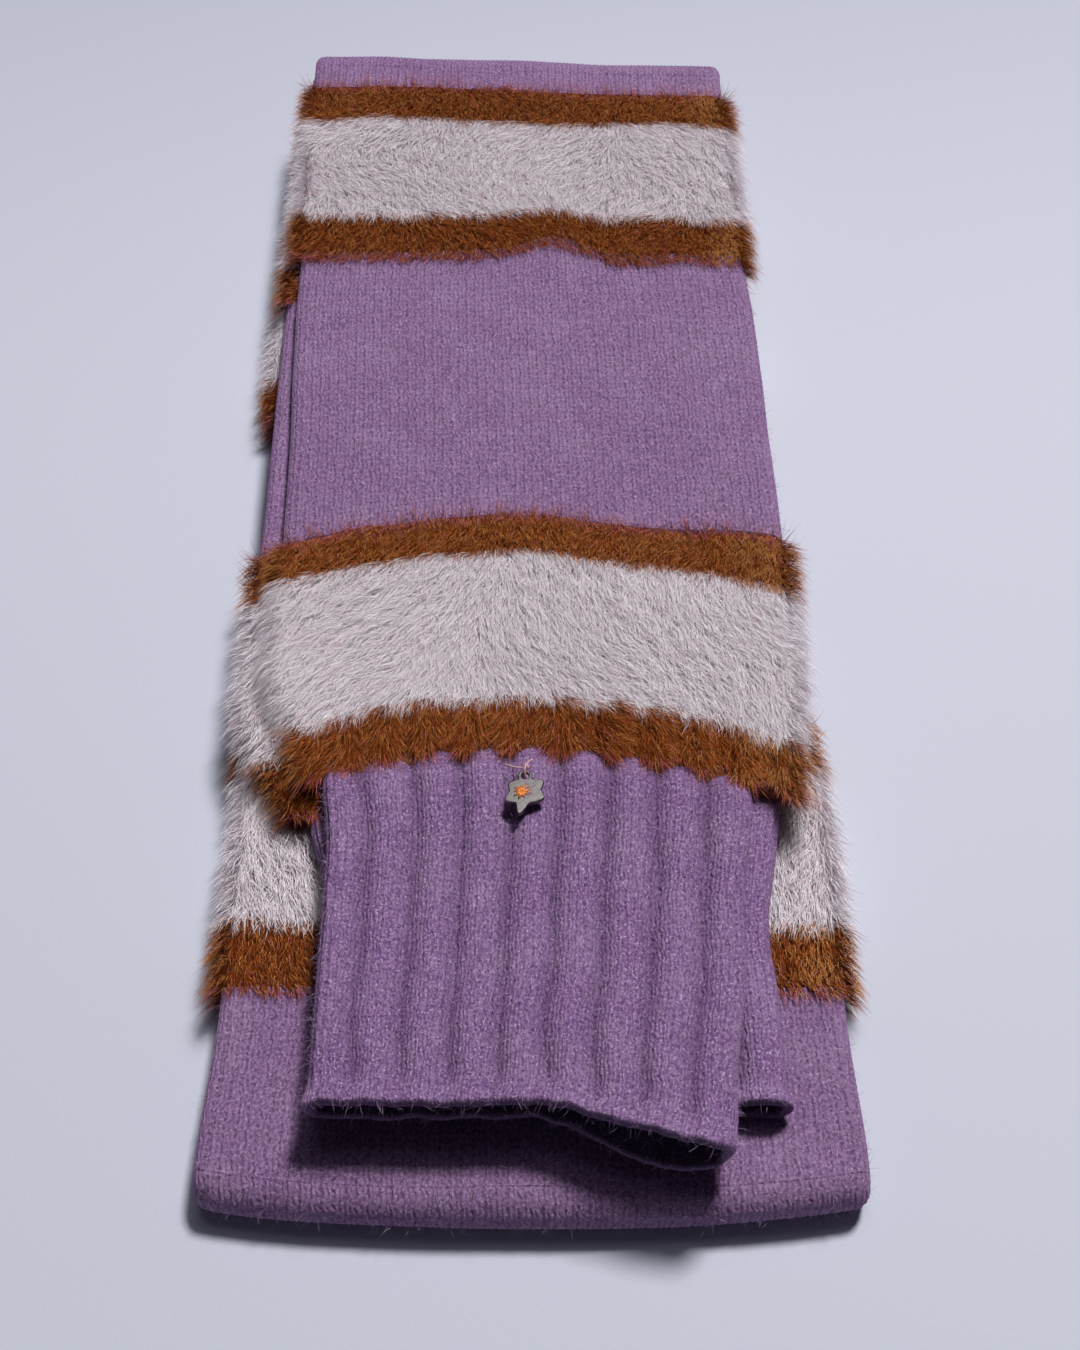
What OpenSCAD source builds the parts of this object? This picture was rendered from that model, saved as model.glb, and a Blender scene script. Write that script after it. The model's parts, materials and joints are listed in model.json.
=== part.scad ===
// Long knitted tube with striped fur-yarn bands and two ribbed open cuffs, folded in four.
// Millimetres. +Z is up, +X is across the tube, and +Y runs along it, away from the cuffs.
// The origin is at the middle of the folded tube, on the surface that it lies on.

/* [Tube] */
// Width across the two lower layers
lower_w = 166; // [150:1:180]
// Width across the two upper layers
upper_w = 154; // [140:1:160]
// Length of the folded tube, from the near fold to the far fold
folded_l = 446; // [440:1:460]
// Thickness of one flattened layer, which is two plies of knitting
layer_t = 7; // [6.5:0.1:7]
// Space between the lower pair of layers and the upper pair
pair_gap = 0.4; // [0.3:0.1:0.6]

/* [Stripes] */
// Length of a caramel band along the tube
caramel_l = 17; // [14:0.5:18]
// Length of a cream band along the tube
cream_l = 54; // [50:0.5:55]
// How much narrower the lilac knitting is on each side than the fur-yarn bands
lilac_inset = 0.8; // [0.5:0.1:1.5]

/* [Cuffs] */
// Width of the top cuff
top_cuff_w = 112; // [105:1:120]
// Width of the second cuff
second_cuff_w = 126; // [120:1:130]
// Height of the top cuff
top_cuff_h = 8.6; // [8.4:0.1:9.6]
// Height of the second cuff
second_cuff_h = 8.4; // [8:0.1:8.8]
// Thickness of one ply of ribbing
rib_ply = 2; // [1.6:0.1:2]
// Number of ribs across one face of a cuff
ribs = 9; // [7:1:11]

/* [Charm] */
// Distance from the middle of the charm plate to the tip of a point
charm_r = 7; // [6:0.5:8]
// Thickness of the charm plate
charm_t = 1.2; // [1:0.1:1.5]
// Radius of the hole that the thread goes through
charm_hole_r = 1; // [0.8:0.1:1.1]
// Radius of the thread
thread_r = 0.3; // [0.2:0.05:0.35]

/* [Hidden] */
$fn = 48;
touch = 0.01;              // how far a cutting shape runs past a face
near_y = -folded_l / 2;
far_y = folded_l / 2;

// Heights of the four layers' undersides.
bottom_z = 0;
third_z = layer_t;
second_z = 2 * layer_t + pair_gap;
top_z = second_z + layer_t;
fold_z = layer_t * 2 + pair_gap / 2;

// Middles of the layers across the tube. The second layer lies a little to the left.
lower_x = 1;
top_x = 1;
second_x = -7;

// Folds. The near fold joins the two lower layers, the far folds join upper and lower ones.
near_fold_y = near_y + layer_t;
outer_fold_r = fold_z;
fold_y = far_y - outer_fold_r;
inner_fold_r = layer_t + pair_gap / 2;

// Where each striped set starts along Y, at its near edge.
set_l = 2 * caramel_l + cream_l;
lower_near_set = near_y + 62;
lower_far_set = near_y + 270;
top_near_set = near_y + 122;
top_far_set = near_y + 327;
second_near_set = near_y + 112;
second_far_set = near_y + 315;

// Cuffs: the middle across the tube, where the mouth is along it, and the underside.
top_cuff_x = 2;
top_mouth_y = near_y + 16;
second_cuff_x = 3;
second_mouth_y = near_y + 22;
second_cuff_z = second_z;
top_cuff_z = second_cuff_z + second_cuff_h + 0.2;
edge_l = 5;                // length of the bound edge at the mouth of a cuff
rib_valley = 0.5;          // depth of the valleys between the ribs

// Charm: the loop's middle, about which the plate flips and swivels.
loop_x = -1;
loop_y = near_y + 116.4;
loop_z = top_cuff_z + top_cuff_h + 3.2;
loop_r = 2;
knot_r = 0.35;
ear_at = 0.62;             // how far out the round ear with the hole is centred, of charm_r
ear_r = 0.3;               // radius of the ear, of charm_r
core_r = 0.45;             // radius of the star's middle, of charm_r
tip_r = 0.7;               // radius of the star's points
charm_points = 6;
ray_l = 5.2;               // length and width of the starburst's crossing rays, and how many
ray_w = 0.5;
rays = 4;
star_t = 0.3;

LILAC = "#8a6b93";
CARAMEL = "#8a4a1c";
CREAM = "#cdbfc6";

// Outline of a flattened tube across X and Z: a bar with two round edges.
module tube_outline(w, t) {
    square([w - t, t], center = true);
    for (side = [-1, 1]) translate([side * (w - t) / 2, 0]) circle(d = t);
}

// A stretch of flattened tube from y0 to y1, with its underside at z.
module tube_stretch(x, w, y0, y1, z, t) {
    translate([x, y1, z + t / 2])
        rotate([90, 0, 0]) linear_extrude(y1 - y0) tube_outline(w, t);
}

// Half a ring across Y and Z, swept along X: a fold, with its round side at +Y or -Y.
module fold_stretch(x, w, y, z, r_out, r_in, side) {
    translate([x - w / 2, y, z]) rotate([90, 0, 90]) linear_extrude(w) intersection() {
        difference() {
            circle(r = r_out);
            if (r_in > 0) circle(r = r_in);
        }
        translate([side > 0 ? 0 : -r_out - 1, -r_out - 1]) square([r_out + 1, 2 * r_out + 2]);
    }
}

// Place and size of a layer: [middle across, width of the fur-yarn bands, underside].
function layer(name) =
    name == "bottom" ? [lower_x, lower_w, bottom_z] :
    name == "third" ? [lower_x, lower_w, third_z] :
    name == "second" ? [second_x, upper_w, second_z] : [top_x, upper_w, top_z];

function set_start(name, far) =
    name == "top" ? (far ? top_far_set : top_near_set) :
    name == "second" ? (far ? second_far_set : second_near_set) :
    (far ? lower_far_set : lower_near_set);

// One band of a striped set: 0 is the front caramel, 1 the cream, 2 the back caramel.
module fur_band(name, far, band) {
    y0 = set_start(name, far) + [0, caramel_l, caramel_l + cream_l][band];
    l = band == 1 ? cream_l : caramel_l;
    place = layer(name);
    color(band == 1 ? CREAM : CARAMEL)
        tube_stretch(place[0], place[1], y0, y0 + l, place[2], layer_t);
}

module lilac(name, y0, y1) {
    place = layer(name);
    color(LILAC) tube_stretch(place[0], place[1] - 2 * lilac_inset, y0, y1, place[2], layer_t);
}

module near_fold_lilac() {
    color(LILAC) fold_stretch(lower_x, lower_w - layer_t, near_fold_y, layer_t, layer_t, 0, -1);
}

module far_fold_outer_lilac() {
    color(LILAC) fold_stretch(top_x, upper_w - 2 * lilac_inset, fold_y, fold_z,
                              outer_fold_r, inner_fold_r, 1);
}

module far_fold_inner_lilac() {
    color(LILAC) fold_stretch(second_x, upper_w - layer_t, fold_y, fold_z,
                              inner_fold_r, pair_gap / 2, 1);
}

// Outline of a ribbed cuff: a flattened ring whose two faces have valleys between the ribs.
module cuff_outline(w, h) {
    pitch = (w - h) / ribs;
    difference() {
        tube_outline(w, h);
        tube_outline(w - 2 * rib_ply, h - 2 * rib_ply);
        for (i = [1 : ribs - 1], side = [-1, 1])
            translate([(i - ribs / 2) * pitch, side * h / 2]) circle(r = rib_valley);
    }
}

module cuff_stretch(x, w, y0, y1, z, h) {
    translate([x, y1, z + h / 2]) rotate([90, 0, 0]) linear_extrude(y1 - y0) cuff_outline(w, h);
}

module top_cuff_rib() {
    color(LILAC) cuff_stretch(top_cuff_x, top_cuff_w, top_mouth_y + edge_l,
                              top_near_set, top_cuff_z, top_cuff_h);
}

module second_cuff_rib() {
    color(LILAC) cuff_stretch(second_cuff_x, second_cuff_w, second_mouth_y + edge_l,
                              second_near_set, second_cuff_z, second_cuff_h);
}

// The bound edge at a cuff's mouth has no ribs.
module cuff_edge(x, w, y0, z, h) {
    translate([x, y0 + edge_l, z + h / 2]) rotate([90, 0, 0]) linear_extrude(edge_l)
        difference() {
            tube_outline(w, h);
            tube_outline(w - 2 * rib_ply, h - 2 * rib_ply);
        }
}

module top_cuff_edge() {
    color(LILAC) cuff_edge(top_cuff_x, top_cuff_w, top_mouth_y,
                           top_cuff_z, top_cuff_h);
}

module second_cuff_edge() {
    color(LILAC) cuff_edge(second_cuff_x, second_cuff_w, second_mouth_y,
                           second_cuff_z, second_cuff_h);
}

// Knot that ties the thread loop to the top of the cuff.
module charm_knot() {
    color("#b06a78") translate([loop_x, loop_y, top_cuff_z + top_cuff_h + knot_r])
        sphere(r = knot_r);
}

// Loop of thread, standing up in the plane of Y and Z.
module charm_thread_loop() {
    color("#b06a78") translate([loop_x, loop_y, loop_z])
        rotate([0, 90, 0]) rotate_extrude() translate([loop_r, 0]) circle(r = thread_r, $fn = 16);
}

// Star plate that lies flat, with its hole at the far end, where the loop passes.
module charm_plate() {
    hole_to_middle = charm_r - loop_r;
    color("#6d6e74") translate([loop_x, loop_y - loop_r, loop_z - charm_t / 2])
        difference() {
            translate([0, -hole_to_middle, 0]) linear_extrude(charm_t) union() {
                circle(r = charm_r * core_r);
                translate([0, charm_r * ear_at]) circle(r = charm_r * ear_r);
                for (i = [1 : charm_points - 1]) rotate(90 + i * 360 / charm_points) {
                    translate([charm_r - tip_r, 0]) circle(r = tip_r);
                    polygon([[0, charm_r * core_r], [charm_r - tip_r, tip_r],
                             [charm_r - tip_r, -tip_r], [0, -charm_r * core_r]]);
                }
            }
            translate([0, 0, -touch]) cylinder(r = charm_hole_r, h = charm_t + 2 * touch);
        }
}

// Enamel starburst that lies on the middle of the plate.
module charm_starburst() {
    color("#e07a35") translate([loop_x, loop_y - charm_r, loop_z + charm_t / 2])
        linear_extrude(star_t) for (i = [0 : rays - 1]) rotate(i * 180 / rays)
            square([ray_l, ray_w], center = true);
}

fur_band("bottom", false, 0);  // bottom_near_set_front_caramel
fur_band("bottom", false, 1);  // bottom_near_set_cream
fur_band("bottom", false, 2);  // bottom_near_set_back_caramel
fur_band("bottom", true, 0);  // bottom_far_set_front_caramel
fur_band("bottom", true, 1);  // bottom_far_set_cream
fur_band("bottom", true, 2);  // bottom_far_set_back_caramel
fur_band("third", false, 0);  // third_near_set_front_caramel
fur_band("third", false, 1);  // third_near_set_cream
fur_band("third", false, 2);  // third_near_set_back_caramel
fur_band("third", true, 0);  // third_far_set_front_caramel
fur_band("third", true, 1);  // third_far_set_cream
fur_band("third", true, 2);  // third_far_set_back_caramel
fur_band("second", false, 0);  // second_near_set_front_caramel
fur_band("second", false, 1);  // second_near_set_cream
fur_band("second", false, 2);  // second_near_set_back_caramel
fur_band("second", true, 0);  // second_far_set_front_caramel
fur_band("second", true, 1);  // second_far_set_cream
fur_band("second", true, 2);  // second_far_set_back_caramel
fur_band("top", false, 0);  // top_near_set_front_caramel
fur_band("top", false, 1);  // top_near_set_cream
fur_band("top", false, 2);  // top_near_set_back_caramel
fur_band("top", true, 0);  // top_far_set_front_caramel
fur_band("top", true, 1);  // top_far_set_cream
fur_band("top", true, 2);  // top_far_set_back_caramel
near_fold_lilac();
far_fold_outer_lilac();
far_fold_inner_lilac();
lilac("bottom", near_fold_y, lower_near_set);  // bottom_near_lilac
lilac("bottom", lower_near_set + set_l, lower_far_set);  // bottom_middle_lilac
lilac("bottom", lower_far_set + set_l, fold_y);  // bottom_end_lilac
lilac("third", near_fold_y, lower_near_set);  // third_near_lilac
lilac("third", lower_near_set + set_l, lower_far_set);  // third_middle_lilac
lilac("third", lower_far_set + set_l, fold_y);  // third_end_lilac
lilac("second", second_near_set + set_l, second_far_set);  // second_middle_lilac
lilac("second", second_far_set + set_l, fold_y);  // second_end_lilac
lilac("top", top_near_set + set_l, top_far_set);  // top_middle_lilac
lilac("top", top_far_set + set_l, fold_y);  // top_end_lilac
top_cuff_rib();
top_cuff_edge();
second_cuff_rib();
second_cuff_edge();
charm_knot();
charm_thread_loop();
charm_plate();
charm_starburst();
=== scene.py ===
"""A long knitted tube with striped fur-yarn bands and two ribbed open cuffs, folded in four.

Shapes are worked out in millimetres in the row's frame, and make_mesh turns them into metres.
"""

import json
import math

import bpy
import numpy as np
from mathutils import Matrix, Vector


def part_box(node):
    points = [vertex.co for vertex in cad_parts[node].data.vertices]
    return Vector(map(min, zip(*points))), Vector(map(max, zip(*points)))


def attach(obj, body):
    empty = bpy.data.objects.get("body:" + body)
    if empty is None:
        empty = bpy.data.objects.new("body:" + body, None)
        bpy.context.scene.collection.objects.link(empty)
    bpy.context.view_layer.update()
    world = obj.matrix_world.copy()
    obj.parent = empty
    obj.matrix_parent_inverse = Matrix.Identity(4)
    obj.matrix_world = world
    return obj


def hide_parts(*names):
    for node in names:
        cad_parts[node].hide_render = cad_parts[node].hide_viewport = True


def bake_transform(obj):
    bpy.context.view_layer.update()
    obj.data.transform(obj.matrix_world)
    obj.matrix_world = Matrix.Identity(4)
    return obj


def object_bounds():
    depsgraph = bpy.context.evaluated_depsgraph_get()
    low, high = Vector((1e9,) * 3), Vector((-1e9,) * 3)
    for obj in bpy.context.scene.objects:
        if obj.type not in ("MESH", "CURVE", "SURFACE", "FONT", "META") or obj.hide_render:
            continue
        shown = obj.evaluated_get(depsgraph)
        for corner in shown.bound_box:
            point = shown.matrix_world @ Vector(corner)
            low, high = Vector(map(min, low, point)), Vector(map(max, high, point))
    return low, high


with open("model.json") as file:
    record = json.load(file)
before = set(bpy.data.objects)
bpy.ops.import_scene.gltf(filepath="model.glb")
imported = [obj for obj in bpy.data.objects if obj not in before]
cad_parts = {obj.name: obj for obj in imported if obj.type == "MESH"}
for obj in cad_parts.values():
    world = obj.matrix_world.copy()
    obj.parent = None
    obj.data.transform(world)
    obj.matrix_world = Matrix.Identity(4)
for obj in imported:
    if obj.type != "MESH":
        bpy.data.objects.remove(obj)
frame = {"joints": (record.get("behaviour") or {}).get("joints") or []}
cad_low, cad_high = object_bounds()

LAYERS = ("bottom", "third", "second", "top")
BODY = {"bottom": "lower_pair", "third": "lower_pair", "second": "upper_pair", "top": "upper_pair"}
WALE = 2.8                  # width of one column of stitches
ROW = 2.2                   # height of one row of stitches
RIBS = 9                    # ribs across one face of a cuff
RIB_FINER = 1.2             # stitches in the ribbing for each one in the plain knitting
NEAR_Y = cad_low.y * 1000
FAR_Y = cad_high.y * 1000


# ---------------- numbers and noise

def smooth(start, end, x):
    """0 before start, 1 after end, and an S curve between them."""
    t = np.clip((x - start) / (end - start), 0, 1)
    return t * t * (3 - 2 * t)


def hill(x, middle, width):
    """A round bump of height 1."""
    return np.exp(-((x - middle) / width) ** 2)


def unit(vectors):
    return vectors / np.linalg.norm(vectors, axis=1, keepdims=True)


def ripple(x, y, size, seed):
    """Smooth noise from -1 to 1 over a plane, with features of about the given size."""
    cells = 64
    grid = np.random.default_rng(seed).uniform(-1, 1, (cells, cells))
    gx, gy = np.asarray(x) / size + cells, np.asarray(y) / size + cells
    ix, iy = np.floor(gx).astype(int), np.floor(gy).astype(int)
    tx, ty = gx - ix, gy - iy
    tx, ty = tx * tx * (3 - 2 * tx), ty * ty * (3 - 2 * ty)
    a, b = grid[ix % cells, iy % cells], grid[(ix + 1) % cells, iy % cells]
    c, d = grid[ix % cells, (iy + 1) % cells], grid[(ix + 1) % cells, (iy + 1) % cells]
    return (a * (1 - tx) + b * tx) * (1 - ty) + (c * (1 - tx) + d * tx) * ty


def box(node):
    low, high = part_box(node)
    return np.array(low) * 1000, np.array(high) * 1000


# ---------------- how the cloth lies

def layer_place(layer):
    """Middle across the tube, half width, middle height and thickness of a layer."""
    low, high = box(f"{layer}_near_set_cream")
    return (low[0] + high[0]) / 2, (high[0] - low[0]) / 2, (low[2] + high[2]) / 2, high[2] - low[2]


PLACE = {layer: layer_place(layer) for layer in LAYERS}
STACK_TOP = PLACE["top"][2] + PLACE["top"][3] / 2
FOLD_Z = STACK_TOP / 2
FOLD_Y = FAR_Y - FOLD_Z
HINGE_Y = [joint for joint in frame["joints"] if joint["name"] == "far_fold"][0]["pos_m"][1] * 1000


def lie(layer, p):
    """Moves points from the straight, flat layer to where the soft cloth really lies."""
    x, y, z = p[..., 0].copy(), p[..., 1].copy(), p[..., 2].copy()
    middle, half = PLACE[layer][:2]
    across = (x - middle) / half
    left, right = np.clip(-across, 0, 1.1), np.clip(across, 0, 1.1)
    far = smooth(-112, -20, y)
    dx = 0.7 * across * ripple(y, 0 * y + 9 * LAYERS.index(layer), 26, 3)
    dy = 0.8 * ripple(x, y, 34, 11 + LAYERS.index(layer))
    skew = 0.038 * x * smooth(60, 200, y)
    if layer == "top":
        # Drawn in to the cuff, and slid to the left towards the far fold.
        dx += (15 * left ** 2 - 5 * right ** 2) * smooth(-55, -101, y) - 6.5 * smooth(-40, 200, y)
        # The near bands bow, their back edge less and higher at the right than their front edge.
        dy += (1 - smooth(-5, 60, y)) * (7 - 12 * ((x - 5) / 75) ** 2 - 0.04 * x)
        dy -= 4.5 * smooth(-32, -10, y) * (1 - smooth(0, 50, y))
        dy += 5 * smooth(60, 104, y) * (1 - smooth(185, 208, y)) - skew
        dy += 7 * smooth(30, 80, x) * smooth(-35, -8, y) * (1 - smooth(0, 50, y))
        # The far bands are pushed up right of the middle, with a dip beside it.
        dy += 7 * hill(x, 12, 12) * hill(y, 106, 22) - 4 * hill(x, 39, 11) * hill(y, 104, 12)
    elif layer == "second":
        dx += 19 * left ** 2 * smooth(-74, -117, y)
        dy += 3 * (1 - smooth(0, 100, y)) + (7 * right ** 2 - 4 * left ** 2) * smooth(-60, -111, y)
        dy -= skew
    else:
        dx += 2.0 * across * smooth(-170, -215, y) - (6.5 + 4.5 * across) * far - 3.0 * hill(y, 88, 45)
        dy += 5.5 * np.abs(across) ** 2.6 * smooth(-150, -222, y) - skew
    lift = 1.0 * ripple(x, y, 42, 5) + 0.4 * ripple(x, y, 17, 6)
    z += (lift - 0.6) * np.clip(z / STACK_TOP, 0, 1.2)
    return np.stack([x + dx, y + dy, z], -1)


# ---------------- meshes

def make_mesh(name, points, faces, materials, uvs=None, slots=None, soft=True):
    """A mesh from points in millimetres and a list of arrays of faces, each (count, corners)."""
    mesh = bpy.data.meshes.new(name)
    mesh.vertices.add(len(points))
    mesh.vertices.foreach_set("co", (np.asarray(points) * 0.001).astype(np.float32).ravel())
    corners = np.concatenate([f.ravel() for f in faces]).astype(np.int32)
    sizes = np.concatenate([np.full(len(f), f.shape[1]) for f in faces]).astype(np.int32)
    mesh.loops.add(len(corners))
    mesh.loops.foreach_set("vertex_index", corners)
    mesh.polygons.add(len(sizes))
    mesh.polygons.foreach_set("loop_start", np.concatenate([[0], np.cumsum(sizes)[:-1]]).astype(np.int32))
    mesh.polygons.foreach_set("loop_total", sizes)
    mesh.polygons.foreach_set("use_smooth", np.array(np.broadcast_to(soft, len(sizes))))
    for material in materials:
        mesh.materials.append(material)
    if slots is not None:
        mesh.polygons.foreach_set("material_index", np.asarray(slots, np.int32))
    if uvs is not None:
        corner_uvs = np.concatenate([u.reshape(-1, 2) for u in uvs]).astype(np.float32)
        mesh.uv_layers.new(name="knit").data.foreach_set("uv", corner_uvs.ravel())
    mesh.update(calc_edges=True)
    mesh.validate()
    piece = bpy.data.objects.new(name, mesh)
    bpy.context.scene.collection.objects.link(piece)
    return piece


class Ring:
    """The outline of a flattened tube, as columns that go over the top face, round the right edge,
    back along the underside and round the left edge. flat is the place along a flat face from
    -1 to 1, and up and out are the direction that the outline faces."""

    def __init__(self, half, thick, top_step, edge_step, under_step):
        radius = thick / 2
        run = 2 * (half - radius)
        turn = math.pi * radius
        top = np.arange(0, run, top_step)
        right = np.arange(run, run + turn, edge_step)
        under = np.arange(run + turn, 2 * run + turn, under_step)
        left = np.arange(2 * run + turn, 2 * (run + turn) - 0.3 * edge_step, edge_step)
        self.s = np.concatenate([top, right, under, left])
        self.length = 2 * (run + turn)
        self.half, self.radius, self.run, self.turn = half, radius, run, turn
        self.flat, self.out, self.up = self.at(self.s)

    def at(self, s):
        run, turn = self.run, self.turn
        flat = np.where(s < run, 2 * s / run - 1, 1.0)
        flat = np.where(s > run + turn, 1 - 2 * (s - run - turn) / run, flat)
        flat = np.where(s > 2 * run + turn, -1.0, flat)
        angle = np.where(s < run, 0.0, (s - run) / self.radius)
        angle = np.where(s > run + turn, math.pi, angle)
        angle = np.where(s > 2 * run + turn, math.pi + (s - 2 * run - turn) / self.radius, angle)
        return flat, np.sin(angle), np.cos(angle)

    def place(self, flat, out, up, inset=0.0):
        """Offsets across and up from the middle, for points that lie inset inside the outline."""
        return flat * (self.half - self.radius) + out * (self.radius - inset), up * (self.radius - inset)


def grid_faces(rows, columns):
    """Quads of a grid whose columns close into a ring, and their corners' own column and row."""
    r, c = np.meshgrid(np.arange(rows - 1), np.arange(columns), indexing="ij")
    r, c = r.ravel(), c.ravel()
    corner_rows = np.stack([r, r, r + 1, r + 1], -1)
    corner_columns = np.stack([c, c + 1, c + 1, c], -1)
    return corner_rows * columns + corner_columns % columns, corner_rows, corner_columns


def end_fans(rows, columns):
    """Triangles over both ends of a grid, to two middle points that follow the grid's own."""
    c = np.arange(columns)
    following, base = (c + 1) % columns, (rows - 1) * columns
    first = np.stack([np.full(columns, rows * columns), following, c], -1)
    last = np.stack([np.full(columns, rows * columns + 1), base + c, base + following], -1)
    return np.concatenate([first, last])


def closed_tube(name, points, s, length, v, materials, flip=False):
    """A closed mesh from a grid of points, rows along the tube, with a fan over each end."""
    rows, columns = points.shape[:2]
    quads, corner_rows, corner_columns = grid_faces(rows, columns)
    s_all = np.append(s, length)
    uv = np.stack([s_all[corner_columns] / WALE, v[corner_rows] / ROW], -1)
    flat = points.reshape(-1, 3)
    ends = np.stack([points[0].mean(0), points[-1].mean(0)])
    faces = [quads, end_fans(rows, columns)]
    uvs = [uv, np.zeros((2 * columns, 3, 2))]
    if flip:
        faces = [f[:, ::-1] for f in faces]
        uvs = [u[:, ::-1] for u in uvs]
    soft = np.arange(len(quads) + 2 * columns) < len(quads)
    return make_mesh(name, np.concatenate([flat, ends]), faces, materials, uvs, soft=soft)


def stitches(u, v, depth):
    """Height of plain knitting: columns of V-shaped stitches. u counts columns, v counts rows."""
    side = np.abs(u - np.floor(u) - 0.5) * 2
    phase = v - 0.5 * side
    leg = np.sin(math.pi * side)
    return depth * (leg * (0.75 + 0.25 * np.cos(2 * math.pi * phase)) - 0.4 * smooth(0.7, 1.0, side))


# ---------------- materials

def calc(tree, operation, *values):
    node = tree.nodes.new("ShaderNodeMath")
    node.operation = operation
    for socket, value in zip(node.inputs, values):
        if isinstance(value, (int, float)):
            socket.default_value = value
        else:
            tree.links.new(value, socket)
    return node.outputs[0]


def spots(tree):
    """Places on the piece, in metres."""
    return tree.nodes.new("ShaderNodeTexCoord").outputs["Object"]


def noise(tree, coordinates, scale, detail=2.0, stretch=None):
    if stretch:
        mapping = tree.nodes.new("ShaderNodeMapping")
        mapping.inputs["Scale"].default_value = stretch
        tree.links.new(coordinates, mapping.inputs["Vector"])
        coordinates = mapping.outputs[0]
    node = tree.nodes.new("ShaderNodeTexNoise")
    node.inputs["Scale"].default_value = scale
    node.inputs["Detail"].default_value = detail
    tree.links.new(coordinates, node.inputs["Vector"])
    return node.outputs["Fac"]


def blend_colours(tree, factor, first, second):
    node = tree.nodes.new("ShaderNodeMix")
    node.data_type = "RGBA"
    for socket, value in zip((node.inputs[0], node.inputs[6], node.inputs[7]), (factor, first, second)):
        if isinstance(value, tuple):
            socket.default_value = value + (1.0,)
        elif isinstance(value, (int, float)):
            socket.default_value = value
        else:
            tree.links.new(value, socket)
    return node.outputs[2]


def ramp(tree, value, low, high):
    node = tree.nodes.new("ShaderNodeMapRange")
    node.interpolation_type = "SMOOTHSTEP"
    node.inputs["From Min"].default_value = low
    node.inputs["From Max"].default_value = high
    tree.links.new(value, node.inputs["Value"])
    return node.outputs[0]


def start_material(name, roughness, sheen=0.0, metallic=0.0, coat=0.0):
    material = bpy.data.materials.new(name)
    material.use_nodes = True
    shader = material.node_tree.nodes["Principled BSDF"]
    shader.inputs["Roughness"].default_value = roughness
    shader.inputs["Sheen Weight"].default_value = sheen
    shader.inputs["Sheen Roughness"].default_value = 0.5
    shader.inputs["Metallic"].default_value = metallic
    shader.inputs["Coat Weight"].default_value = coat
    return material, material.node_tree, shader


def add_bump(tree, shader, height, strength, distance):
    bump = tree.nodes.new("ShaderNodeBump")
    bump.inputs["Strength"].default_value = strength
    bump.inputs["Distance"].default_value = distance
    tree.links.new(height, bump.inputs["Height"])
    tree.links.new(bump.outputs[0], shader.inputs["Normal"])


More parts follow.
